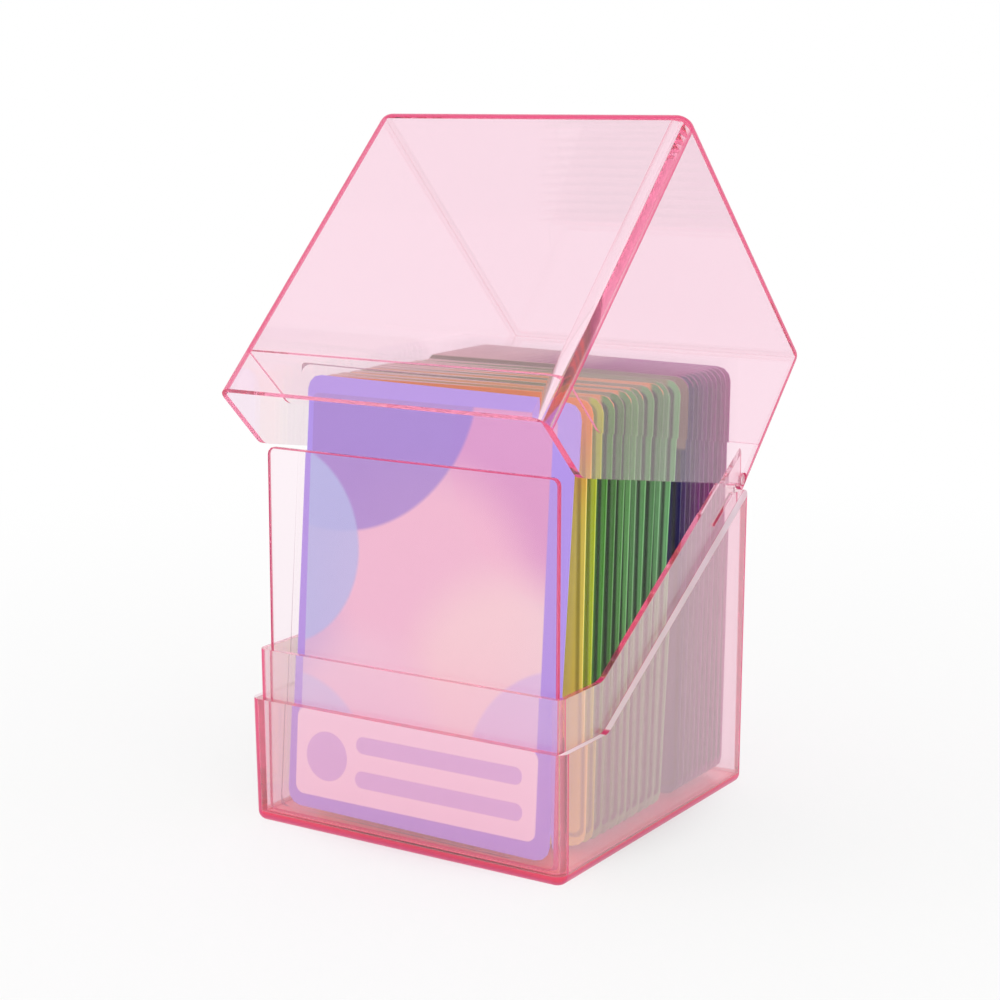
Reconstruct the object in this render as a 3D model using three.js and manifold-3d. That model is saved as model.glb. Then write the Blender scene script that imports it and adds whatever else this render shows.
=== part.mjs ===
// Card storage box: a clear moulded base with raised lip and hinge ears, a flip lid shown
// open, a front divider and a row of trading cards, each in its own open-topped sleeve.
// Millimetres, +X right, +Y back, +Z up. The origin is the centre of the base's underside.
import * as THREE from 'three';
import { mergeVertices } from 'three/addons/utils/BufferGeometryUtils.js';
import Module from 'manifold-3d';

const wasm = await Module();
wasm.setup();

// Driving dimensions of the card and its sleeve
const cardWidth = 63;
const cardHeight = 88;
const cardThickness = 0.4;
const cardCornerRadius = 3;
const sleeveMargin = 1.5;
const sleeveFilm = 0.2;
const sleeveSeam = 0.4;
const sleeveCornerRadius = 0.8;

// Clearance between loose pieces, and how far a cutting body runs past what it cuts
const clearance = 0.3;
const sidePlay = 2.05;
const headRoom = 8.9;
const overrun = 2;

// Base: sizes at the ledge, which is the parting line with the lid
const baseDepth = 76.9;
const baseDraftShare = 0.008;
const baseCornerRadius = 2.5;
const footRadius = 2;
const floorThickness = 2;
const ledgeHeight = 26.35;
const levelRun = 17.2;
const ledgeAngle = THREE.MathUtils.degToRad(32.6);
const ledgeKinkRadius = 5;
const ledgeFlatRadius = 0.2;
const backLevelRun = 0.15;
const backWallThickness = 2.4;

// Lip that stands up inside the lid's skirt
const lipRise = 10.2;
const lipThickness = 1.15;
const sideLedge = 1.3;
const frontLedge = 1.55;
const lipCornerRadius = 1.9;
const cavityCornerRadius = 0.3;
const cavityFootRadius = 0.3;

// Hinge: bosses on sprung ears of the lip turn in holes in the lid's skirt
const hingeInset = 3.2;
const hingeRise = 2.86;
const bossRadius = 1.2;
const bossReach = 1.2;
const boreClearance = 0.25;
const earSetback = 1.6;
const earEndRadius = 1.9;
const notchLead = 1.1;
const slotWidth = 0.9;
const slotLength = 9.4;
const slotRise = 3.6;
const slotGapToHinge = 2.7;
const openAngle = THREE.MathUtils.degToRad(45);

// Lid: sizes as it lies closed on the base
const lidSideOverhang = 0.6;
const lidBackOverhang = 0.3;
const lidDraftShare = 0.009;
const lidFrontLeanShare = 0.0195;
const lidBackLeanShare = 0.0285;
const lidCornerRadius = 3.4;
const crownRadius = 2.5;
const lidWall = 1.9;
const lidFrontWall = 1.6;
const crownThickness = 2;
const rimGap = 1;
const rimLevelRun = 18.2;
const rimAboveHinge = 0.4;
const rimKinkRadius = 4;
const skirtDepth = 10.4;
const skirtFit = 0.4;
const skirtFrontFit = 0.3;
const skirtBackThickness = 1.25;
const lugRadius = 2.2;
const lidCavityRadius = 0.3;
const skirtCornerRadius = 0.3;

// Front divider: a clear sheet between the base's front wall and the first card
const dividerPlay = 0.75;
const dividerHeight = 75.9;
const dividerThickness = 1.2;
const dividerCornerRadius = 1.5;
const dividerTopBack = 1;

// Sleeved cards from front to back: where each one's foot and head stand, as shares of the
// base's depth behind its front face, and the colour of each run
const frontFootShare = 0.0741;
const frontHeadShare = 0.1743;
const frontTurn = 0.012;
const frontSide = 0.4;
const amberSide = 0.6;
const oliveSide = 1;
const greenSide = 1.4;
const purpleSide = 1;
const purpleTurn = 0.01;
const amberFootShare = 0.1964;
const amberHeadShare = 0.2406;
const oliveFootShare = 0.2263;
const oliveHeadShare = 0.2822;
const greenFootShares = [
  0.2575, 0.3043, 0.3459, 0.3823, 0.4161, 0.4525, 0.4941, 0.5306, 0.567,
];
const greenHeadShares = [
  0.3303, 0.3771, 0.4187, 0.4499, 0.4785, 0.5332, 0.5878, 0.6151, 0.6775,
];
const purpleCount = 10;
const purpleFirstFootShare = 0.6814;
const purpleFirstHeadShare = 0.7113;
const purpleLastFootShare = 0.9389;
const purpleLastHeadShare = 0.948;
const lavenderColour = 0xc7b6ea;
const amberColour = 0xe98b32;
const oliveColour = 0xb5a03c;
const greenColour = 0x5d9a5c;
const purpleColour = 0x6a3f86;

// Looks of the clear plastic, the film and the card stock
const plasticColour = 0xf7b6cf;
const plasticOpacityShare = 0.45;
const filmColour = 0xf4f4f8;
const filmOpacityShare = 0.3;
const plasticRoughnessShare = 0.08;
const filmRoughnessShare = 0.12;
const cardRoughnessShare = 0.45;

// Facets on round stretches
const cornerSteps = 8;
const edgeSteps = 6;
const roundSteps = 28;
const cardCornerSteps = 3;

// Sizes worked out from the driving dimensions
const sleeveWidth = cardWidth + 2 * sleeveMargin;
const sleeveHeight = cardHeight + 2 * sleeveMargin;
const baseWidth = sleeveWidth + 2 * (sidePlay + lipThickness + sideLedge);
const frontY = -baseDepth / 2;
const backY = baseDepth / 2;
const baseHalf = baseWidth / 2;
const lipHalf = baseHalf - sideLedge;
const lipFront = frontY + frontLedge;
const cavityHalf = lipHalf - lipThickness;
const cavityFront = lipFront + lipThickness;
const cavityBack = backY - backWallThickness;
const kinkY = frontY + levelRun;
const ledgeSlope = Math.tan(ledgeAngle);
const backWallHeight = ledgeHeight + (baseDepth - levelRun - backLevelRun) * ledgeSlope;
const hingeHeight = backWallHeight + hingeRise;
const rimBackHeight = hingeHeight + rimAboveHinge;
const lidHeight = floorThickness + clearance + sleeveHeight + headRoom + crownThickness;
const dividerWidth = 2 * (cavityHalf - dividerPlay);
const hingeY = backY - hingeInset;
const earBack = hingeY + earSetback;
const earTop = ledgeHeight + lipRise + (earBack - kinkY) * ledgeSlope;
const rimHeight = ledgeHeight + rimGap;
const rimKinkY = frontY + rimLevelRun;
const lidBack = backY + lidBackOverhang;
const skirtHalf = lipHalf + skirtFit;
const skirtFront = lipFront - skirtFrontFit;
const skirtBack = lidBack - skirtBackThickness;
const boreRadius = bossRadius + boreClearance;
const sleeveThickness = cardThickness + 2 * (clearance + sleeveFilm);

// A closed mesh as a solid for joining and cutting
function solid(geometry) {
  const bare = geometry.clone();
  bare.deleteAttribute('normal');
  bare.deleteAttribute('uv');
  const merged = mergeVertices(bare);
  return new wasm.Manifold(new wasm.Mesh({
    numProp: 3,
    vertProperties: new Float32Array(merged.attributes.position.array),
    triVerts: new Uint32Array(merged.index.array),
  }));
}

// A solid back as a geometry with flat facets
function geometryOf(body) {
  const mesh = body.getMesh();
  const geometry = new THREE.BufferGeometry();
  geometry.setAttribute('position', new THREE.BufferAttribute(mesh.vertProperties, mesh.numProp));
  geometry.setIndex(new THREE.BufferAttribute(mesh.triVerts, 1));
  const flat = geometry.toNonIndexed();
  flat.computeVertexNormals();
  return flat;
}

// Rounded rectangle at one height, as a ring of points running anticlockwise
function ring({ half, front, back }, radius, z) {
  const shape = new THREE.Path();
  shape.absarc(half - radius, front + radius, radius, -Math.PI / 2, 0);
  shape.absarc(half - radius, back - radius, radius, 0, Math.PI / 2);
  shape.absarc(-half + radius, back - radius, radius, Math.PI / 2, Math.PI);
  shape.absarc(-half + radius, front + radius, radius, Math.PI, 1.5 * Math.PI);
  const points = shape.curves
    .filter((curve) => curve instanceof THREE.EllipseCurve)
    .flatMap((curve) => curve.getPoints(cornerSteps));
  return points.map((point) => new THREE.Vector3(point.x, point.y, z));
}

// Skin over a stack of rings, closed at both ends
function loft(rings) {
  const count = rings[0].length;
  const position = rings.flat().flatMap((point) => point.toArray());
  const index = [];
  for (let level = 1; level < rings.length; level++) {
    for (let i = 0; i < count; i++) {
      const a = (level - 1) * count + i;
      const b = (level - 1) * count + (i + 1) % count;
      index.push(a, b, b + count, a, b + count, a + count);
    }
  }
  const top = (rings.length - 1) * count;
  for (let i = 1; i < count - 1; i++) {
    index.push(0, i + 1, i);
    index.push(top, top + i, top + i + 1);
  }
  const geometry = new THREE.BufferGeometry();
  geometry.setAttribute('position', new THREE.Float32BufferAttribute(position, 3));
  geometry.setIndex(index);
  return solid(geometry);
}

function drawnIn({ half, front, back }, inset) {
  return { half: half - inset, front: front + inset, back: back - inset };
}

// Rings of a tapered box whose foot is rounded: sizeAt gives half width, front and back at z
function footRings(sizeAt, bottom, cornerRadius, radius) {
  return Array.from({ length: edgeSteps + 1 }, (_, i) => {
    const angle = (i / edgeSteps) * Math.PI / 2;
    const inset = radius * (1 - Math.sin(angle));
    const z = bottom + radius * (1 - Math.cos(angle));
    return ring(drawnIn(sizeAt(z), inset), cornerRadius - inset, z);
  });
}

// Rings of a tapered box whose crown is rounded
function crownRings(sizeAt, top, cornerRadius, radius) {
  return Array.from({ length: edgeSteps + 1 }, (_, i) => {
    const angle = (i / edgeSteps) * Math.PI / 2;
    const inset = radius * (1 - Math.cos(angle));
    const z = top - radius * (1 - Math.sin(angle));
    return ring(drawnIn(sizeAt(z), inset), cornerRadius - inset, z);
  });
}

// Corner of an outline replaced by an arc of the radius given
function arcAt(before, corner, after, radius) {
  const toBefore = before.clone().sub(corner).normalize();
  const toAfter = after.clone().sub(corner).normalize();
  const halfAngle = Math.acos(THREE.MathUtils.clamp(toBefore.dot(toAfter), -1, 1)) / 2;
  const reach = radius / Math.tan(halfAngle);
  const centre = toBefore.clone().add(toAfter).normalize()
    .multiplyScalar(radius / Math.sin(halfAngle)).add(corner);
  const start = corner.clone().addScaledVector(toBefore, reach).sub(centre);
  const end = corner.clone().addScaledVector(toAfter, reach).sub(centre);
  const turn = Math.atan2(start.cross(end), start.dot(end));
  return Array.from({ length: edgeSteps + 1 }, (_, i) => (
    start.clone().rotateAround(new THREE.Vector2(), turn * i / edgeSteps).add(centre)
  ));
}

// Side outline in Y and Z, with corners given as [y, z] or [y, z, radius]
function outline(corners) {
  const points = corners.map(([y, z]) => new THREE.Vector2(y, z));
  const count = points.length;
  return new THREE.Shape(corners.flatMap(([, , radius], i) => (
    radius ? arcAt(points[(i + count - 1) % count], points[i], points[(i + 1) % count], radius)
      : [points[i]]
  )));
}

// Prism of a side outline across the width, centred on X
function sidePrism(shape, width) {
  const geometry = new THREE.ExtrudeGeometry(shape, { depth: width, bevelEnabled: false });
  geometry.translate(0, 0, -width / 2);
  geometry.applyMatrix4(new THREE.Matrix4().makeBasis(
    new THREE.Vector3(0, 1, 0),
    new THREE.Vector3(0, 0, 1),
    new THREE.Vector3(1, 0, 0),
  ));
  return solid(geometry);
}

// Round bar along X from one side to another, centred on the hinge line
function hingeBar(radius, from, to) {
  const geometry = new THREE.CylinderGeometry(radius, radius, to - from, roundSteps);
  geometry.rotateZ(Math.PI / 2);
  geometry.translate((from + to) / 2, hingeY, hingeHeight);
  return solid(geometry);
}

function block(left, right, front, back, bottom, top) {
  const geometry = new THREE.BoxGeometry(right - left, back - front, top - bottom);
  geometry.translate((left + right) / 2, (front + back) / 2, (bottom + top) / 2);
  return solid(geometry);
}

// Outer form of the base at height z, narrower towards the foot
function baseSize(z) {
  const draft = baseDraftShare * (z - ledgeHeight);
  return { half: baseHalf + draft, front: frontY - draft, back: backY + draft };
}

// Hollow of the base: drafted below the ledge and straight above it
function cavitySize(z) {
  const draft = baseDraftShare * Math.min(z - ledgeHeight, 0) / 2;
  return { half: cavityHalf + draft, front: cavityFront - draft, back: cavityBack + draft };
}

function baseGeometry() {
  const width = baseWidth + 2 * overrun;
  const top = earTop + overrun;
  const shell = loft([
    ...footRings(baseSize, 0, baseCornerRadius, footRadius),
    ring(baseSize(top), baseCornerRadius, top),
  ]);
  const flatStart = backY - backLevelRun;
  const ledge = sidePrism(outline([
    [frontY - overrun, -overrun],
    [backY + overrun, -overrun],
    [backY + overrun, backWallHeight],
    [flatStart, backWallHeight, ledgeFlatRadius],
    [kinkY, ledgeHeight, ledgeKinkRadius],
    [frontY - overrun, ledgeHeight],
  ]), width);

  const lipSize = { half: lipHalf, front: lipFront, back: earBack };
  const lipLoft = loft([floorThickness, top].map((z) => ring(lipSize, lipCornerRadius, z)));
  const lipProfile = sidePrism(outline([
    [frontY - overrun, floorThickness / 2],
    [earBack + overrun, floorThickness / 2],
    [earBack + overrun, earTop + overrun * ledgeSlope],
    [kinkY, ledgeHeight + lipRise, ledgeKinkRadius],
    [frontY - overrun, ledgeHeight + lipRise],
  ]), width);
  const notch = block(
    -baseWidth, baseWidth, hingeY - notchLead, backY + overrun, backWallHeight, hingeHeight,
  ).subtract(hingeBar(earEndRadius, -2 * baseWidth, 2 * baseWidth));
  const lip = lipLoft.intersect(lipProfile).subtract(notch);

  const cavity = loft([
    ...footRings(cavitySize, floorThickness, cavityCornerRadius, cavityFootRadius),
    ...[ledgeHeight, top + overrun].map((z) => ring(cavitySize(z), cavityCornerRadius, z)),
  ]);
  const backOpening = block(
    -cavityHalf, cavityHalf, cavityBack - 2 * overrun, backY + overrun, backWallHeight, top + overrun,
  );
  const bosses = [1, -1].map((side) => {
    const inner = side * (lipHalf - lipThickness / 2);
    const outer = side * (lipHalf + bossReach);
    return hingeBar(bossRadius, Math.min(inner, outer), Math.max(inner, outer));
  });
  let body = shell.intersect(ledge).add(lip).subtract(cavity).subtract(backOpening);
  body = body.subtract(sidePrism(reliefSlot(), width));
  bosses.forEach((boss) => {
    body = body.add(boss);
  });
  return geometryOf(body);
}

// Slot under the ear, parallel to the ledge, that lets the ear spring inwards
function reliefSlot() {
  const radius = slotWidth / 2;
  const endY = hingeY - slotGapToHinge;
  const end = new THREE.Vector2(endY, ledgeHeight + (endY - kinkY) * ledgeSlope + slotRise);
  const along = new THREE.Vector2(-Math.cos(ledgeAngle), -Math.sin(ledgeAngle));
  const start = end.clone().addScaledVector(along, slotLength);
  const shape = new THREE.Shape();
  shape.absarc(start.x, start.y, radius, ledgeAngle + Math.PI / 2, ledgeAngle + 1.5 * Math.PI);
  shape.absarc(end.x, end.y, radius, ledgeAngle - Math.PI / 2, ledgeAngle + Math.PI / 2);
  return new THREE.Shape(shape.getPoints(2 * edgeSteps));
}

// Outer form of the closed lid at height z: the sides draw in, front and back both lean back
function lidSize(z) {
  return {
    half: baseHalf + lidSideOverhang - lidDraftShare * (z - rimHeight),
    front: frontY + lidFrontLeanShare * (z - rimHeight),
    back: lidBack + lidBackLeanShare * (z - rimBackHeight),
  };
}

function lidCavitySize(z) {
  const size = lidSize(z);
  return { half: size.half - lidWall, front: size.front + lidFrontWall, back: size.back - lidWall };
}

// Outline of all that lies above the rim line, raised by the height given. The rim runs level
// along the front, climbs the sides and is level again across the back skirt.
function aboveRim(rise, top) {
  const far = lidBack + overrun;
  return outline([
    [frontY - overrun, rimHeight + rise],
    [rimKinkY, rimHeight + rise, rimKinkRadius],
    [skirtBack, rimBackHeight + rise],
    [far, rimBackHeight + rise],
    [far, top],
    [frontY - overrun, top],
  ]);
}

function lidGeometry() {
  const width = baseWidth + 4 * overrun;
  const bottom = rimHeight - overrun;
  const above = lidHeight + overrun;
  const shell = loft([
    ring(lidSize(bottom), lidCornerRadius, bottom),
    ...crownRings(lidSize, lidHeight, lidCornerRadius, crownRadius),
  ]);
  const kept = sidePrism(aboveRim(0, above), width).add(hingeBar(lugRadius, -baseWidth, baseWidth));
  const skirtSize = { half: skirtHalf, front: skirtFront, back: skirtBack };
  const rebate = loft([bottom - overrun, above].map((z) => (
    ring(skirtSize, skirtCornerRadius, z)
  ))).subtract(sidePrism(aboveRim(skirtDepth, above + overrun), width));
  const hollow = loft([
    ring(lidCavitySize(bottom - overrun), lidCavityRadius, bottom - overrun),
    ...crownRings(lidCavitySize, lidHeight - crownThickness, lidCavityRadius, lidCavityRadius / 2),
  ]);
  const body = shell.intersect(kept)
    .subtract(rebate)
    .subtract(hollow)
    .subtract(hingeBar(boreRadius, -baseWidth, baseWidth));
  return geometryOf(body.translate([0, -hingeY, -hingeHeight]));
}

// Upright sheet with rounded corners, its foot on Z = 0 and its thickness centred on Y
function sheet(width, height, thickness, radius) {
  const right = width / 2;
  const shape = new THREE.Shape();
  shape.absarc(right - radius, radius, radius, -Math.PI / 2, 0);
  shape.absarc(right - radius, height - radius, radius, 0, Math.PI / 2);
  shape.absarc(-right + radius, height - radius, radius, Math.PI / 2, Math.PI);
  shape.absarc(-right + radius, radius, radius, Math.PI, 1.5 * Math.PI);
  const points = shape.curves
    .filter((curve) => curve instanceof THREE.EllipseCurve)
    .flatMap((curve) => curve.getPoints(cardCornerSteps));
  const geometry = new THREE.ExtrudeGeometry(new THREE.Shape(points), {
    depth: thickness,
    bevelEnabled: false,
  });
  geometry.translate(0, 0, -thickness / 2);
  geometry.rotateX(Math.PI / 2);
  return geometry;
}

// Pocket of clear film: two faces joined down both sides and along the foot, open above
function sleeveGeometry() {
  const pocketWidth = sleeveWidth - 2 * sleeveSeam;
  const pocket = new THREE.BoxGeometry(pocketWidth, sleeveThickness - 2 * sleeveFilm, sleeveHeight);
  pocket.translate(0, 0, sleeveSeam + sleeveHeight / 2);
  const film = solid(sheet(sleeveWidth, sleeveHeight, sleeveThickness, sleeveCornerRadius));
  return geometryOf(film.subtract(solid(pocket)));
}

function material(color, roughness, opacity = 1) {
  return new THREE.MeshStandardMaterial({
    color,
    roughness,
    metalness: 0,
    opacity,
    transparent: opacity < 1,
  });
}

function mesh(name, geometry, finish) {
  const piece = new THREE.Mesh(geometry, finish);
  piece.name = name;
  return piece;
}

const box = new THREE.Group();
const clearPink = () => (
  material(plasticColour, plasticRoughnessShare, plasticOpacityShare)
);
box.add(mesh('base', baseGeometry(), clearPink()));

const lid = new THREE.Group();
lid.position.set(0, hingeY, hingeHeight);
lid.rotation.x = -openAngle;
lid.add(mesh('lid', lidGeometry(), clearPink()));
box.add(lid);

const divider = new THREE.Group();
const dividerLean = Math.atan(dividerTopBack / dividerHeight);
divider.position.set(
  0, cavityFront + clearance + dividerThickness / 2, floorThickness + clearance,
);
divider.rotation.x = -dividerLean;
divider.add(mesh(
  'front_divider',
  sheet(dividerWidth, dividerHeight, dividerThickness, dividerCornerRadius),
  clearPink(),
));
box.add(divider);

// A card and its sleeve, leaning back from the foot and standing on the floor
const sleeveShape = sleeveGeometry();
const cardShape = sheet(cardWidth, cardHeight, cardThickness, cardCornerRadius);
let placed = 0;
function placeCard(footShare, headShare, side, turn, colour) {
  placed += 1;
  const number = String(placed).padStart(2, '0');
  const lean = Math.asin((headShare - footShare) * baseDepth / sleeveHeight);
  const drop = Math.sin(lean) * sleeveThickness / 2 + Math.sin(Math.abs(turn)) * sleeveWidth / 2;
  const place = new THREE.Group();
  place.position.set(side, frontY + footShare * baseDepth, floorThickness + clearance + drop);
  place.rotation.set(-lean, turn, 0);
  const film = material(filmColour, filmRoughnessShare, filmOpacityShare);
  place.add(mesh(`sleeve_${number}`, sleeveShape.clone(), film));
  const card = mesh(`card_${number}`, cardShape.clone(), material(colour, cardRoughnessShare));
  card.position.z = sleeveSeam + clearance;
  place.add(card);
  box.add(place);
}

placeCard(frontFootShare, frontHeadShare, frontSide, frontTurn, lavenderColour);
placeCard(amberFootShare, amberHeadShare, amberSide, 0, amberColour);
placeCard(oliveFootShare, oliveHeadShare, oliveSide, 0, oliveColour);
greenFootShares.forEach((footShare, i) => {
  placeCard(footShare, greenHeadShares[i], greenSide, 0, greenColour);
});
for (let i = 0; i < purpleCount; i++) {
  const share = i / (purpleCount - 1);
  const footShare = THREE.MathUtils.lerp(purpleFirstFootShare, purpleLastFootShare, share);
  const headShare = THREE.MathUtils.lerp(purpleFirstHeadShare, purpleLastHeadShare, share);
  placeCard(footShare, headShare, purpleSide, purpleTurn, purpleColour);
}

export default box;
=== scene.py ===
"""Looks for a clear flip-lid card storage box, its divider and the sleeved cards in it."""

import math

import bmesh
import bpy
from mathutils import Matrix, Vector


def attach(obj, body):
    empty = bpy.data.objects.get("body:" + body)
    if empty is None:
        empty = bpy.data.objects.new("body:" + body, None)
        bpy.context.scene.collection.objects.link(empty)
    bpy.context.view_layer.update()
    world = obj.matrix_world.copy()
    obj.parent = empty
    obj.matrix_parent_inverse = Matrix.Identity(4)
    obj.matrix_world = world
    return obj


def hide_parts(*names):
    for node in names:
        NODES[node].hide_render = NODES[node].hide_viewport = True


bl_info = {
    "name": "Card storage box",
    "version": (1, 0, 0),
    "blender": (4, 5, 0),
    "location": "View3D > Sidebar > Card Box",
    "description": "Moulded clear box with flip lid, divider and sleeved cards",
    "category": "Add Mesh",
}

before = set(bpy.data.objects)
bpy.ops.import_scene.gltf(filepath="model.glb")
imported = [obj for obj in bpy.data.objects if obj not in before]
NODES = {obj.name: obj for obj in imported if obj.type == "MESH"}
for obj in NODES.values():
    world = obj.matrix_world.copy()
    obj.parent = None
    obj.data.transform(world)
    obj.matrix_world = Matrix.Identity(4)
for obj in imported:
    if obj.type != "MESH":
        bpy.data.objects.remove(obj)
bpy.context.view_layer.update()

MM = 0.001
CARD_COUNT = sum(name.startswith("card_") for name in NODES)
# The pack from front to back: amber, olive, green cards, purple cards
AMBER, OLIVE, FIRST_GREEN, LAST_GREEN = 2, 3, 4, 12
FIRST_PURPLE = LAST_GREEN + 1

WHITE = (1.0, 1.0, 1.0, 1.0)
CARD_WHITE = (0.86, 0.84, 0.88, 1.0)
FILM_WHITE = (0.93, 0.92, 0.95, 1.0)

# Bounces after which light that is caught inside a wall goes straight on
CAUGHT_AFTER = 8.0
# Heights between which the base's thick bottom, with its painted glow, ends, and above which the
# ledge with its painted highlight is looked for
SOLE_TOP = (2.1 * MM, 2.6 * MM)
ABOVE_SOLE = (3.0 * MM, 4.0 * MM)
# Distances from the middle between which the ledge beside the lip, with its painted highlight,
# begins
LEDGE_START = (36.1 * MM, 36.4 * MM)
# How far a sloping ledge faces up before it gets the painted highlight
LEDGE_SLOPE = (0.74, 0.82)

# Doubled corners of a solid lie closer than this
WELD = 0.002 * MM
# Faces that meet at less than this are one face, and at more than SHARP have an edge to round
FLAT = math.radians(0.6)
SHARP = math.radians(38)
# A rounded corner of the moulding is made of strips that are narrower and meet at more than this
STRIP = 1.0 * MM
BEND = math.radians(3)

# Depths, in millimetres, of the passage between a card's cut edge and its two faces
FACE_SKIN = (0.01, 0.03)


class Value:
    """A number or colour in a material, so that expressions on it add their nodes."""

    def __init__(self, paint, socket):
        self.paint = paint
        self.socket = socket

    def _maths(self, operation, *values):
        node = self.paint.node("ShaderNodeMath", {"operation": operation}, *values)
        return node.value()

    def __add__(self, other):
        return self._maths("ADD", self, other)

    def __radd__(self, other):
        return self._maths("ADD", other, self)

    def __sub__(self, other):
        return self._maths("SUBTRACT", self, other)

    def __rsub__(self, other):
        return self._maths("SUBTRACT", other, self)

    def __mul__(self, other):
        return self._maths("MULTIPLY", self, other)

    def __rmul__(self, other):
        return self._maths("MULTIPLY", other, self)

    def __pow__(self, other):
        return self._maths("POWER", self, other)

    def __abs__(self):
        return self._maths("ABSOLUTE", self)

    def root(self):
        return self._maths("SQRT", self)

    def sine(self):
        return self._maths("SINE", self)

    def most(self, other):
        return self._maths("MAXIMUM", self, other)


class Placed:
    """A node that has been added, which gives its outputs by name."""

    def __init__(self, paint, node):
        self.paint = paint
        self.node = node

    def value(self, name=0):
        return Value(self.paint, self.node.outputs[name])

    def __getitem__(self, name):
        return self.value(name)


class Paint:
    """A material or world whose nodes are added by short calls."""

    def __init__(self, owner):
        self.owner = owner
        owner.use_nodes = True
        self.tree = owner.node_tree
        self.tree.nodes.clear()

    def node(self, kind, settings=None, *values, **named):
        """A new node: its type, settings, and the values or links of its sockets."""
        added = self.tree.nodes.new(kind)
        for name, setting in (settings or {}).items():
            setattr(added, name, setting)
        for index, value in enumerate(values):
            self.feed(added.inputs[index], value)
        for name, value in named.items():
            self.feed(added.inputs[name.replace("_", " ")], value)
        return Placed(self, added)

    def feed(self, socket, value):
        if isinstance(value, Placed):
            value = value.value()
        if isinstance(value, Value):
            self.tree.links.new(value.socket, socket)
        elif value is not None:
            socket.default_value = value

    def mix(self, share, first, second):
        """A colour between two others."""
        added = self.node("ShaderNodeMix", {"data_type": "RGBA"})
        self.feed(added.node.inputs[0], share)
        self.feed(added.node.inputs[6], first)
        self.feed(added.node.inputs[7], second)
        return added.value(2)

    def shaders(self, share, first, second):
        return self.node("ShaderNodeMixShader", None, share, first, second)

    def step(self, value, low, high, start=0.0, end=1.0):
        """Start below low, end above high and a smooth passage between them."""
        return self.node(
            "ShaderNodeMapRange", {"interpolation_type": "SMOOTHSTEP"},
            value, low, high, start, end,
        ).value()

    def finish(self, surface, volume=None):
        out = self.tree.nodes.new("ShaderNodeOutputMaterial")
        self.feed(out.inputs["Surface"], surface)
        self.feed(out.inputs["Volume"], volume)


def colour_of(prop):
    """A colour property with full alpha."""
    return (*tuple(prop)[:3], 1.0)


def linear(red, green, blue):
    """A colour in screen numbers, 0 to 255, as scene light."""
    shares = [part / 255 for part in (red, green, blue)]
    return tuple(
        part / 12.92 if part <= 0.04045 else ((part + 0.055) / 1.055) ** 2.4 for part in shares
    )


def colour_property(name, description, colour):
    return bpy.props.FloatVectorProperty(
        name=name, description=description, default=colour,
        subtype="COLOR", size=3, min=0.0, max=1.0,
    )


def length_property(name, description, length):
    return bpy.props.FloatProperty(
        name=name, description=description, default=length,
        subtype="DISTANCE", unit="LENGTH", min=0.0,
    )


def share_property(name, description, share):
    return bpy.props.FloatProperty(
        name=name, description=description, default=share, min=0.0, max=1.0, subtype="FACTOR",
    )


class ClearPlasticLook(bpy.types.PropertyGroup):
    """Tinted clear plastic of the base, lid and divider"""

    tint: colour_property(
        "Tint", "Colour that the plastic takes on where light runs far through it",
        (0.95, 0.04, 0.41),
    )
    skin: colour_property(
        "Skin tint", "Colour that each face of the plastic lets through", (0.994, 0.955, 0.975),
    )
    glow: colour_property(
        "Light let in", "Colour that lamp light keeps at each face of the plastic",
        (1.0, 0.985, 0.992),
    )
    # Painted glow: crimson painted on the base's thick bottom, standing in for light caught in it
    sole: colour_property(
        "Light in the sole", "Colour caught in the base's thick bottom", (1.0, 0.05, 0.14),
    )
    # Painted glow: crimson painted on the narrow rounded edges and on the divider's upright
    # sides, standing in for light caught in them
    rounding: colour_property(
        "Light in the edges", "Colour caught in the narrow edges", (0.74, 0.025, 0.16),
    )
    outline: share_property("Edge strength", "How strongly the narrow edges show", 0.75)
    # Painted glow: crimson painted on the broad rounded corners, standing in for light caught in
    # them
    bend: colour_property(
        "Light in the bends", "Colour caught in broad rounded corners", (0.82, 0.035, 0.19),
    )
    band: share_property("Bend strength", "How strongly the broad corners show", 0.8)
    # Painted highlight: pale colour painted where the ledge beside the lip faces up
    ledge: colour_property(
        "Light on the ledge", "Colour caught on the ledge beside the lip", (1.0, 0.95, 0.98),
    )
    depth: bpy.props.FloatProperty(
        name="Depth of tint", description="How fast the tint builds up, per metre",
        default=50.0, min=0.0,
    )
    gloss: share_property("Surface blur", "Roughness of the moulded faces", 0.025)
    bending: bpy.props.FloatProperty(
        name="Refraction", description="Index of refraction of the plastic", default=1.47,
        min=1.0, max=2.0,
    )
    edge: length_property("Edge rounding", "Rounding of the moulded edges", 0.3 * MM)
    # Painted glow: pink colour painted on the moulded faces at a slant, standing in for light
    # caught in the walls
    bloom: colour_property(
        "Bloom", "Colour that the moulded faces take on at a slant", (1.0, 0.46, 0.54),
    )
    base_bloom: share_property("Base bloom", "Strength of the bloom on the base", 0.28)
    coat: share_property("Polish", "Strength of the outer polish on the base", 1.0)
    lid_bloom: share_property("Lid bloom", "Strength of the bloom on the lid", 0.03)


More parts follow.
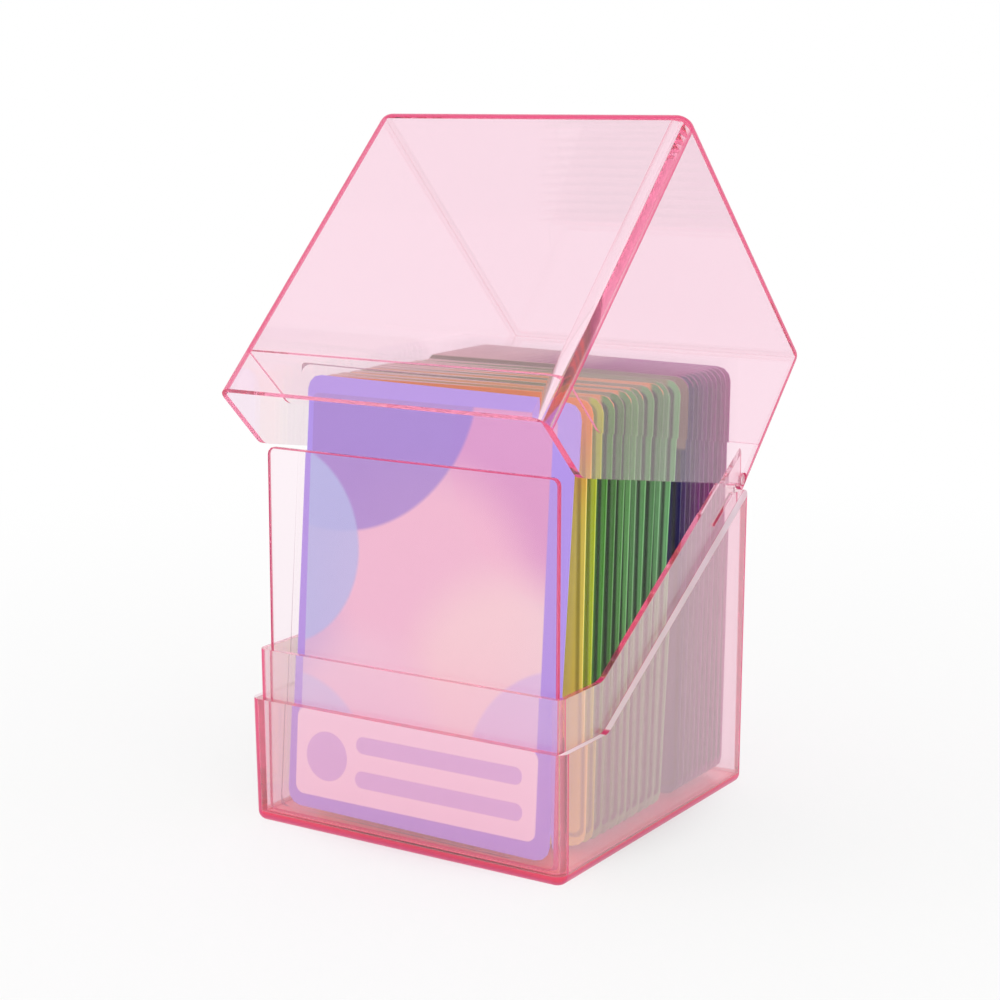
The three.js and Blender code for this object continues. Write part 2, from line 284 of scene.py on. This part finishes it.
class CardLook(bpy.types.PropertyGroup):
    """Print and stock of the cards and the film of their sleeves"""

    border: colour_property(
        "Front border", "Frame of the foremost card", linear(184, 158, 246),
    )
    panel: colour_property(
        "Label panel", "Plain panel near the foot of the foremost card", linear(255, 255, 255),
    )
    amber: colour_property("Amber", "Frame of the first card of the pack", linear(255, 216, 96))
    orange: colour_property("Orange", "Head of the amber card", linear(255, 146, 40))
    olive: colour_property("Olive", "Frame of the second card", linear(208, 226, 44))
    leaf: colour_property("Leaf green", "Frame of the first green card", linear(88, 160, 62))
    green: colour_property("Green", "Frame of the last green card", linear(116, 184, 118))
    navy: colour_property("Navy", "Frame of the first purple card", linear(28, 18, 92))
    plum: colour_property("Plum", "Frame of the last purple card", linear(156, 0, 126))
    peach: colour_property("Peach", "Band along the head of some cards", linear(244, 168, 96))
    sage: colour_property("Sage", "Band along the head of the others", linear(150, 152, 108))
    violet: colour_property("Violet", "Head of the purple cards", linear(192, 84, 176))
    taupe: colour_property("Taupe", "Face of the first purple card", linear(150, 132, 112))
    line: colour_property("Head line", "Thin line along each card's head", linear(240, 206, 206))
    film: share_property("Film haze", "How much a sleeve's film hides at a square look", 0.012)
    # Painted shade: the seam colour is a dark line painted on the front sleeve's real rim
    seam: colour_property("Film seam", "Colour of the front sleeve's rim", (0.3, 0.04, 0.14))
    seam_width: length_property("Film seam width", "Width of the front sleeve's rim", 0.3 * MM)
    rim: share_property("Film rim", "How much the front sleeve's rim hides", 0.6)


class StudioLook(bpy.types.PropertyGroup):
    """Floor, light and camera"""

    ground: colour_property("Floor", "Colour of the floor", (0.93, 0.93, 0.925))
    key: bpy.props.FloatProperty(
        name="Key lamp", description="Power of the large lamp", default=1.6, min=0.0,
        subtype="POWER",
    )
    fill: bpy.props.FloatProperty(
        name="Fill lamp", description="Power of the second lamp", default=0.7, min=0.0,
        subtype="POWER",
    )
    sky: bpy.props.FloatProperty(
        name="Sky", description="Strength of the even light from all round", default=0.8, min=0.0,
    )


def printed(red, green, blue):
    """An ink in screen numbers, 0 to 255."""
    return (*linear(red, green, blue), 1.0)


def assign(piece, material):
    piece.data.materials.clear()
    piece.data.materials.append(material)


def base_painted_light(paint, look):
    """Where the base gets painted light: a crimson glow painted on its thick bottom, standing in
    for light caught there, and a pale highlight painted where the ledge beside the lip faces up.
    """
    spot = paint.node("ShaderNodeSeparateXYZ", None, paint.node("ShaderNodeTexCoord")["Object"])
    facing = paint.node("ShaderNodeNewGeometry")["True Normal"]
    upward = paint.node("ShaderNodeSeparateXYZ", None, facing)["Z"]
    # Painted glow on the thick bottom
    sole = paint.step(spot["Z"], *SOLE_TOP, 1.0, 0.0)
    outside = paint.step(abs(spot["X"]), *LEDGE_START)
    # Painted highlight where the ledge faces up
    ledge = paint.step(upward, *LEDGE_SLOPE) * outside * paint.step(spot["Z"], *ABOVE_SOLE)
    return [(sole, look.sole, 0.68), (ledge, look.ledge, 0.85)]


def sheet_painted_glow(paint, look):
    """Where a flat sheet gets painted light: a crimson glow painted on its two upright narrow
    sides, standing in for light caught in them.
    """
    facing = paint.node("ShaderNodeNewGeometry")["True Normal"]
    sideways = abs(paint.node("ShaderNodeSeparateXYZ", None, facing)["X"])
    return [(paint.step(sideways, 0.5, 0.9), look.rounding, 0.9)]


def clear_plastic(name, look, bloom, polish, painted_light):
    """Clear tinted plastic with a glow painted on it at a slant and on its edges, standing in for
    light caught in the plastic. Lamps shine through.
    """
    material = bpy.data.materials.new(name)
    paint = Paint(material)
    body = paint.node(
        "ShaderNodeBsdfPrincipled", None,
        Base_Color=colour_of(look.skin), Roughness=look.gloss, IOR=look.bending,
        Transmission_Weight=1.0, Coat_Weight=polish, Coat_Roughness=look.gloss, Coat_IOR=1.7,
        Specular_IOR_Level=0.5 if polish > 0.0 else 0.2,
    )
    # Painted glow at a slant, over a band of slants only
    slant = paint.node("ShaderNodeLayerWeight", None, 0.5)["Facing"]
    share = paint.step(slant, 0.24, 0.46, 0.0, bloom) * paint.step(slant, 0.5, 0.7, 1.0, 0.0)
    colour = colour_of(look.bloom)
    painted_marks = painted_light(paint, look) if painted_light else []
    # Painted glow on the narrow rounded edges
    edge = paint.node("ShaderNodeAttribute", {"attribute_name": "rounding"})["Fac"]
    # Painted glow on the broad rounded corners, stronger at a slant
    bend = paint.node("ShaderNodeAttribute", {"attribute_name": "bend"})["Fac"]
    bend = bend * paint.step(slant, 0.26, 0.46, 0.12, 1.0)
    painted_bands = [(bend, look.bend, look.band), (edge, look.rounding, look.outline)]
    # Every painted glow and highlight goes into one diffuse colour and its share
    for mask, painted_colour, strength in [*painted_marks, *painted_bands]:
        colour = paint.mix(mask, colour, colour_of(painted_colour))
        share = share + (strength - share) * mask
    # Diffuse layer that carries the painted glow and highlights
    soft = paint.node("ShaderNodeBsdfPrincipled", None, Base_Color=colour, Roughness=0.3)
    body = paint.shaders(share, body, soft)
    through = paint.node("ShaderNodeBsdfTransparent", None, colour_of(look.glow))
    path = paint.node("ShaderNodeLightPath")
    caught = paint.node(
        "ShaderNodeMath", {"operation": "GREATER_THAN"}, path["Ray Depth"], CAUGHT_AFTER,
    ).value()
    straight = path["Is Shadow Ray"].most(path["Is Diffuse Ray"]).most(caught)
    depth = paint.node(
        "ShaderNodeVolumeAbsorption", None, colour_of(look.tint), look.depth,
    )
    paint.finish(paint.shaders(straight, body, through), depth)
    return material


def moulded_copy(node, name, edge):
    """A smooth copy of a solid with its sharp edges rounded a little.

    Its faces carry two marks for the material's painted glow: rounding on the new narrow edges,
    and bend on the strips of the broad rounded corners.
    """
    form = bmesh.new()
    form.from_mesh(NODES[node].data)
    bmesh.ops.remove_doubles(form, verts=form.verts, dist=WELD)
    bmesh.ops.dissolve_limit(
        form, angle_limit=FLAT, verts=form.verts, edges=form.edges, delimit={"NORMAL"},
    )
    bmesh.ops.recalc_face_normals(form, faces=form.faces)
    sharp = [
        item for item in form.edges
        if item.is_manifold and item.calc_face_angle(0.0) > SHARP
    ]
    rounding = form.faces.layers.float.new("rounding")
    bend = form.faces.layers.float.new("bend")
    for face in form.faces:
        bent = [
            item for item in face.edges
            if item.is_manifold and BEND < item.calc_face_angle(0.0) < SHARP
        ]
        width = face.calc_area() / max(item.calc_length() for item in face.edges)
        face[bend] = 1.0 if len(bent) > 1 and width < STRIP else 0.0
    rounded = bmesh.ops.bevel(
        form, geom=sharp, offset=edge, offset_type="OFFSET", segments=2, profile=0.5,
        affect="EDGES", clamp_overlap=True, material=-1,
    )
    for face in rounded["faces"]:
        face[rounding] = 1.0
        face[bend] = 0.0
    for face in form.faces:
        face.smooth = True
    mesh = bpy.data.meshes.new(name)
    form.to_mesh(mesh)
    form.free()
    piece = bpy.data.objects.new(name, mesh)
    bpy.context.scene.collection.objects.link(piece)
    weighted = piece.modifiers.new("even shading", "WEIGHTED_NORMAL")
    weighted.keep_sharp = True
    weighted.weight = 50
    return piece


def place_shell(node, name, body, look, material):
    """A moulded copy in the place of a solid, which rides with its body."""
    piece = moulded_copy(node, name, look.edge)
    assign(piece, material)
    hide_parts(node)
    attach(piece, body)


class CARDBOX_OT_base(bpy.types.Operator):
    """Clear base with its raised lip, hinge ears and ledge"""

    bl_idname = "cardbox.base"
    bl_label = "Base"

    def execute(self, context):
        look = context.scene.card_box_plastic
        material = clear_plastic(
            "clear plastic of the base", look, look.base_bloom, look.coat, base_painted_light,
        )
        place_shell("base", "box_base_shell", "box_base", look, material)
        return {"FINISHED"}


class CARDBOX_OT_lid(bpy.types.Operator):
    """Clear flip lid that fits over the base's lip"""

    bl_idname = "cardbox.lid"
    bl_label = "Lid"

    def execute(self, context):
        look = context.scene.card_box_plastic
        material = clear_plastic("clear plastic of the lid", look, look.lid_bloom, 0.0, None)
        place_shell("lid", "flip_lid_shell", "box_lid", look, material)
        return {"FINISHED"}


class CARDBOX_OT_divider(bpy.types.Operator):
    """Clear sheet in front of the cards"""

    bl_idname = "cardbox.divider"
    bl_label = "Divider"

    def execute(self, context):
        look = context.scene.card_box_plastic
        material = clear_plastic(
            "clear plastic of the divider", look, look.lid_bloom, 0.0, sheet_painted_glow,
        )
        place_shell("front_divider", "clear_divider_sheet", "divider", look, material)
        return {"FINISHED"}


class CardFace:
    """Where a card lies: its centre, right, up and front directions and half sizes."""

    def __init__(self, node):
        points = [vertex.co for vertex in NODES[node].data.vertices]
        middle = sum(points, Vector()) / len(points)
        broad = max(NODES[node].data.polygons, key=lambda face: face.area)
        front = broad.normal.copy()
        if front.y > 0:
            front.negate()
        edges = [
            points[edge.vertices[0]] - points[edge.vertices[1]]
            for edge in NODES[node].data.edges
        ]
        upright = [
            edge for edge in edges
            if abs(edge.normalized().dot(front)) < 0.01 and abs(edge.normalized().z) > 0.9
        ]
        side = max(upright, key=lambda edge: edge.length)
        up = side.normalized() if side.z > 0 else -side.normalized()
        right = front.cross(up)
        right = -right if right.x < 0 else right
        axes = (right, -front, up)
        self.axes = Matrix(axes).transposed()
        low = [min((point - middle).dot(axis) for point in points) for axis in axes]
        high = [max((point - middle).dot(axis) for point in points) for axis in axes]
        centre = sum(((a + b) / 2 * axis for a, b, axis in zip(low, high, axes)), Vector())
        self.middle = middle + centre
        self.half = [(b - a) / 2 for a, b in zip(low, high)]


class CardPlace:
    """Places on a flat piece, in millimetres from its centre, for its material."""

    def __init__(self, paint, face):
        self.paint = paint
        spot = paint.node("ShaderNodeTexCoord")["Object"]
        turned = paint.node(
            "ShaderNodeMapping", {"vector_type": "TEXTURE"}, spot,
            Location=face.middle, Rotation=face.axes.to_euler(), Scale=(MM, MM, MM),
        )
        parts = paint.node("ShaderNodeSeparateXYZ", None, turned)
        self.spot = turned.value()
        self.across = parts["X"]
        self.back = parts["Y"]
        self.up = parts["Z"]
        self.half_width, self.half_depth, self.half_height = (half / MM for half in face.half)

    def disc(self, across, up, radius, blur):
        """A round patch, 1 inside."""
        from_side = self.across - across
        from_foot = self.up - up
        away = (from_side * from_side + from_foot * from_foot).root()
        return self.paint.step(away, radius - blur, radius + blur, 1.0, 0.0)

    def panel(self, across, up, half_width, half_height, radius, blur=0.15):
        """A rectangle with round corners, 1 inside."""
        outside_x = (abs(self.across - across) - (half_width - radius)).most(0.0)
        outside_z = (abs(self.up - up) - (half_height - radius)).most(0.0)
        away = (outside_x * outside_x + outside_z * outside_z).root()
        return self.paint.step(away, radius - blur, radius + blur, 1.0, 0.0)

    def front_mask(self):
        """1 on the printed front."""
        thin, thick = FACE_SKIN
        return self.paint.step(
            self.back, -self.half_depth + thin, -self.half_depth + thick, 1.0, 0.0,
        )

    def back_mask(self):
        """1 on the card's back."""
        thin, thick = FACE_SKIN
        return self.paint.step(self.back, self.half_depth - thick, self.half_depth - thin)

    def head(self, low, high):
        """1 along the head. It fades out from high to low, both measured down from the top."""
        return self.paint.step(self.up, self.half_height - low, self.half_height - high)


def film_material(name, look, outline):
    """Thin clear film that dulls what is behind it a little. The outline is the front sleeve's
    real rim with a dark line painted on it, painted shade standing in for the shade at the film's
    edge.
    """
    material = bpy.data.materials.new(name)
    paint = Paint(material)
    slant = paint.node("ShaderNodeLayerWeight", None, 0.25)["Facing"]
    path = paint.node("ShaderNodeLightPath")
    cover = slant ** 3.0 * 0.05 + look.film
    colour = FILM_WHITE
    if outline:
        sleeve = CardPlace(paint, CardFace("sleeve_01"))
        seam = look.seam_width / MM
        rim = 1.0 - sleeve.panel(
            0.0, 0.0, sleeve.half_width - seam, sleeve.half_height - seam, 2.4, 0.08,
        )
        # Towards the pack's side the rim and its painted shade line fade out
        rim = rim * sleeve.front_mask() * paint.step(sleeve.across, 22.0, 26.0, 1.0, 0.0)
        cover = cover + rim * look.rim
        colour = paint.mix(rim, colour, colour_of(look.seam))
    skin = paint.node(
        "ShaderNodeBsdfPrincipled", None,
        Base_Color=colour, Roughness=0.12, IOR=1.5, Alpha=cover,
    )
    through = paint.node("ShaderNodeBsdfTransparent", None, WHITE)
    straight = path["Is Shadow Ray"].most(path["Is Diffuse Ray"])
    paint.finish(paint.shaders(straight, skin, through))
    return material


class CARDBOX_OT_sleeves(bpy.types.Operator):
    """Clear film sleeve round every card"""

    bl_idname = "cardbox.sleeves"
    bl_label = "Sleeves"

    def execute(self, context):
        look = context.scene.card_box_cards
        first = film_material("front sleeve film", look, True)
        film = film_material("sleeve film", look, False)
        for name, node in NODES.items():
            if name.startswith("sleeve_"):
                assign(node, first if name == "sleeve_01" else film)
        return {"FINISHED"}


def card_stock(card, edge, front, reverse):
    """The three sides of a card together: print, reverse and cut edge."""
    paint = card.paint
    colour = paint.mix(card.front_mask(), edge, front)
    colour = paint.mix(card.back_mask(), colour, reverse)
    fibre = paint.node("ShaderNodeTexNoise", None, card.spot, Scale=3.0, Detail=3.0)["Fac"]
    bump = paint.node("ShaderNodeBump", None, Strength=0.05, Distance=0.00002, Height=fibre)
    rough = fibre * 0.08 + 0.36
    skin = paint.node(
        "ShaderNodeBsdfPrincipled", None,
        Base_Color=colour, Roughness=rough, Specular_IOR_Level=0.2, Normal=bump["Normal"],
    )
    paint.finish(skin)
    return paint.owner


def reverse_print(card, ground, figure):
    """Plain generic back: a framed field of small diamonds."""
    paint = card.paint
    repeat = 10.0
    turn = 2.0 * math.pi / repeat
    first = ((card.across + card.up) * turn).sine()
    second = ((card.across - card.up) * turn).sine()
    diamonds = paint.step(first * second, 0.1, 0.3)
    field = card.panel(0.0, 0.0, card.half_width - 4.0, card.half_height - 4.0, 2.0)
    colour = paint.mix(diamonds * 0.35, ground, figure)
    return paint.mix(field, CARD_WHITE, colour)


class CARDBOX_OT_front_card(bpy.types.Operator):
    """Foremost card: lavender frame, soft round patches and an empty label panel"""

    bl_idname = "cardbox.front_card"
    bl_label = "Front card"

    def execute(self, context):
        look = context.scene.card_box_cards
        card = CardPlace(Paint(bpy.data.materials.new("front card print")), CardFace("card_01"))
        paint = card.paint
        picture = paint.mix(
            paint.step(card.up, -44.0, 44.0),
            printed(218, 210, 240), printed(228, 172, 214),
        )
        # Centre across and up, radius, softness of the rim and colour of each round patch
        patches = [
            (34.0, 34.0, 30.0, 0.6, (228, 164, 214)),
            (0.0, 4.0, 24.0, 7.0, (253, 210, 226)),
            (20.0, -14.0, 23.0, 7.0, (255, 234, 230)),
            (-14.0, -24.0, 17.0, 6.0, (250, 224, 236)),
            (-24.0, 48.0, 34.0, 0.5, (166, 142, 224)),
            (-38.0, 10.0, 21.0, 0.5, (188, 206, 250)),
            (34.0, -30.0, 23.0, 0.5, (228, 210, 246)),
            (-32.0, -36.0, 20.0, 0.6, (214, 218, 250)),
        ]
        for across, up, radius, blur, shade in patches:
            patch = card.disc(across, up, radius, blur)
            picture = paint.mix(patch * 0.85, picture, printed(*shade))
        window = card.panel(-1.4, 1.5, 28.4, 39.2, 1.6)
        front = paint.mix(window, colour_of(look.border), picture)
        label = card.panel(-1.2, -32.0, 29.0, 9.0, 2.0)
        front = paint.mix(label, front, colour_of(look.panel))
        marks = card.disc(-22.5, -32.3, 5.1, 0.15)
        # Two bars beside the disc: height on the card and right end
        for up, end in ((-28.6, 24.3), (-35.7, 24.7)):
            half = (end + 15.2) / 2
            marks = marks.most(card.panel(end - half, up, half, 1.75, 1.7))
        front = paint.mix(marks, front, printed(222, 206, 248))
        reverse = reverse_print(card, printed(150, 120, 205), printed(210, 190, 235))
        assign(NODES["card_01"], card_stock(card, colour_of(look.border), front, reverse))
        return {"FINISHED"}


def between(first, last, share):
    """A colour part of the way from the first to the last."""
    return tuple(a + (b - a) * share for a, b in zip(first, last))


def frame_and_head(look, index):
    """Colours of a card's frame and of the band along its head."""
    if index == AMBER:
        return look.amber, look.orange
    if index == OLIVE:
        return look.olive, between(look.sage, look.peach, 0.5)
    if index <= LAST_GREEN:
        share = (index - FIRST_GREEN) / (LAST_GREEN - FIRST_GREEN)
        head = look.sage if index % 2 or index == LAST_GREEN else look.peach
        return between(look.leaf, look.green, share), head
    share = (index - FIRST_PURPLE) / (CARD_COUNT - FIRST_PURPLE)
    return between(look.navy, look.plum, share), between(look.plum, look.violet, share)


def pack_front(card, index, tone, head, look):
    """Front of a pack card: frame with a dark line painted just inside its edge as painted shade
    between neighbouring cards, plain picture and label, and a band along its head.
    """
    paint = card.paint
    # Painted shade: a dark line just inside the frame's edge, standing in for the shade between
    # neighbouring cards; softer on the amber and olive cards
    shade_strength = 0.16 if index > OLIVE else 0.5
    painted_shade = (*(shade_strength * part for part in tone[:3]), 1.0)
    pale = paled(tone)
    rim = card.panel(0.0, 0.0, card.half_width - 1.25, card.half_height - 1.9, 2.2, 0.25)
    front = paint.mix(rim, tone, painted_shade)
    field = card.panel(0.0, 0.0, card.half_width - 2.1, card.half_height - 2.7, 1.8, 0.35)
    front = paint.mix(field, front, tone)
    # The round patch stands at a place of its own on each card
    patch = card.disc((index * 11) % 17 - 8.0, 10.0 + (index * 5) % 9, 19.0, 5.0)
    picture = paint.mix(patch, tone, pale)
    window = card.panel(0.0, 6.0, 27.0, 31.0, 1.6)
    front = paint.mix(window, front, picture)
    label = card.panel(0.0, -34.0, 27.0, 6.0, 1.6)
    front = paint.mix(label, front, pale)
    inner = paint.step(
        abs(card.across), card.half_width - 3.4, card.half_width - 2.4, 1.0, 0.0,
    )
    front = paint.mix(card.head(3.4, 2.6) * inner, front, head)
    if index == FIRST_PURPLE:
        front = paint.mix(card.head(16.0, 15.0), front, colour_of(look.taupe))
    return front


def paled(tone):
    """The same colour, much lighter."""
    return (*(0.35 + 0.6 * part for part in tone[:3]), 1.0)


class CARDBOX_OT_card_pack(bpy.types.Operator):
    """Amber, olive, green and purple cards behind the foremost one"""

    bl_idname = "cardbox.card_pack"
    bl_label = "Card pack"

    def execute(self, context):
        look = context.scene.card_box_cards
        for index in range(AMBER, CARD_COUNT + 1):
            name = f"card_{index:02d}"
            card = CardPlace(Paint(bpy.data.materials.new(name + " print")), CardFace(name))
            paint = card.paint
            tone, head = frame_and_head(look, index)
            # Neighbouring cards differ a little in how light they are
            lift = 0.8 + 0.4 * ((index * 7) % 5) / 4
            tone = (*(min(1.0, part * lift) for part in tone), 1.0)
            head = (*head, 1.0)
            front = pack_front(card, index, tone, head, look)
            if index == AMBER:
                fade = paint.step(card.up, 18.0, 45.0)
                front = paint.mix(fade, front, head)
                edge = paint.mix(fade, tone, head)
            else:
                edge = paint.mix(card.head(3.2, 2.4), tone, head)
            line = card.head(0.5, 0.4)
            front = paint.mix(line, front, colour_of(look.line))
            edge = paint.mix(line, edge, colour_of(look.line))
            reverse = reverse_print(card, tone, paled(tone))
            assign(NODES[name], card_stock(card, edge, front, reverse))
        return {"FINISHED"}


def area_lamp(name, place, aim, size, power):
    """A rectangular lamp at a place, turned to what it aims at."""
    data = bpy.data.lights.new(name, "AREA")
    data.shape = "RECTANGLE"
    data.size, data.size_y = size
    data.energy = power
    lamp = bpy.data.objects.new(name, data)
    bpy.context.scene.collection.objects.link(lamp)
    lamp.location = place
    lamp.rotation_euler = (Vector(aim) - Vector(place)).to_track_quat("-Z", "Y").to_euler()


def seen_plainly(paint):
    """1 for what the camera, gloss and glass see."""
    path = paint.node("ShaderNodeLightPath")
    return path["Is Camera Ray"].most(path["Is Glossy Ray"]).most(path["Is Transmission Ray"])


def make_floor(look):
    """Pale floor that goes over into white away from the box, and keeps the shadow near it."""
    form = bmesh.new()
    bmesh.ops.create_circle(form, cap_ends=True, segments=64, radius=6.0)
    mesh = bpy.data.meshes.new("floor")
    form.to_mesh(mesh)
    form.free()
    floor = bpy.data.objects.new("floor", mesh)
    bpy.context.scene.collection.objects.link(floor)
    floor.location = (0.0, 0.0, -0.05 * MM)
    material = bpy.data.materials.new("floor")
    paint = Paint(material)
    spot = paint.node("ShaderNodeTexCoord")["Object"]
    away = paint.node("ShaderNodeVectorMath", {"operation": "LENGTH"}, spot)["Value"]
    # The floor's own white glow fades towards the box and is weaker still under it, so the floor
    # is darker there: real shadow with painted shade under the box
    far = paint.step(away, 0.05, 0.4, 0.72, 1.0)
    share = far * paint.step(away, 0.022, 0.05, 0.4, 1.0)
    matt = paint.node(
        "ShaderNodeBsdfPrincipled", None, Base_Color=colour_of(look.ground), Roughness=0.7,
    )
    white = paint.node("ShaderNodeEmission", None, WHITE, 1.0)
    paint.finish(paint.shaders(seen_plainly(paint) * share, matt, white))
    assign(floor, material)


def make_sky(look):
    """Even light from all round, which looks plain white."""
    world = bpy.data.worlds.new("studio")
    bpy.context.scene.world = world
    paint = Paint(world)
    soft = paint.node("ShaderNodeBackground", None, WHITE, look.sky)
    white = paint.node("ShaderNodeBackground", None, WHITE, 1.0)
    out = paint.tree.nodes.new("ShaderNodeOutputWorld")
    paint.feed(out.inputs["Surface"], paint.shaders(seen_plainly(paint), soft, white))


def make_camera():
    """The photograph's viewpoint."""
    data = bpy.data.cameras.new("camera")
    data.sensor_width = 36.0
    data.lens = 76.98
    data.clip_start = 0.01
    camera = bpy.data.objects.new("camera", data)
    bpy.context.scene.collection.objects.link(camera)
    forward = Vector((-0.53201, 0.8245, -0.19279)).normalized()
    level_right = forward.cross(Vector((0.0, 0.0, 1.0))).normalized()
    level_up = level_right.cross(forward)
    roll = math.radians(-0.285)
    right = level_right * math.cos(roll) + level_up * math.sin(roll)
    up = level_up * math.cos(roll) - level_right * math.sin(roll)
    turned = Matrix((right, up, -forward)).transposed()
    place = Vector((0.234984, -0.36547, 0.150325))
    camera.matrix_world = Matrix.Translation(place) @ turned.to_4x4()
    bpy.context.scene.camera = camera


class CARDBOX_OT_studio(bpy.types.Operator):
    """Pale floor, soft light and the camera"""

    bl_idname = "cardbox.studio"
    bl_label = "Studio"

    def execute(self, context):
        look = context.scene.card_box_studio
        scene = context.scene
        scene.view_settings.view_transform = "Standard"
        scene.cycles.max_bounces = 32
        scene.cycles.transmission_bounces = 28
        scene.cycles.glossy_bounces = 32
        scene.cycles.transparent_max_bounces = 128
        make_floor(look)
        make_sky(look)
        area_lamp("key lamp", (0.5, -0.35, 0.75), (0.0, 0.0, 0.05), (0.6, 0.6), look.key)
        area_lamp("fill lamp", (-0.7, -0.3, 0.5), (0.0, 0.0, 0.06), (0.6, 0.6), look.fill)
        make_camera()
        return {"FINISHED"}


class CARDBOX_PT_panel(bpy.types.Panel):
    """Steps and settings of the card box"""

    bl_label = "Card storage box"
    bl_idname = "CARDBOX_PT_panel"
    bl_space_type = "VIEW_3D"
    bl_region_type = "UI"
    bl_category = "Card Box"

    def draw(self, context):
        for step in STEPS:
            self.layout.operator(step.bl_idname)
        for group in GROUPS:
            look = getattr(context.scene, group)
            self.layout.label(text=GROUPS[group].__doc__)
            for name in GROUPS[group].__annotations__:
                self.layout.prop(look, name)


GROUPS = {
    "card_box_plastic": ClearPlasticLook,
    "card_box_cards": CardLook,
    "card_box_studio": StudioLook,
}
STEPS = (
    CARDBOX_OT_base,
    CARDBOX_OT_lid,
    CARDBOX_OT_divider,
    CARDBOX_OT_sleeves,
    CARDBOX_OT_front_card,
    CARDBOX_OT_card_pack,
    CARDBOX_OT_studio,
)


def register():
    for item in (*GROUPS.values(), *STEPS, CARDBOX_PT_panel):
        bpy.utils.register_class(item)
    for name, group in GROUPS.items():
        setattr(bpy.types.Scene, name, bpy.props.PointerProperty(type=group))


def unregister():
    for name in GROUPS:
        delattr(bpy.types.Scene, name)
    for item in reversed((*GROUPS.values(), *STEPS, CARDBOX_PT_panel)):
        bpy.utils.unregister_class(item)


def main():
    register()
    for step in STEPS:
        group, name = step.bl_idname.split(".")
        getattr(getattr(bpy.ops, group), name)()


if __name__ == "__main__":
    main()
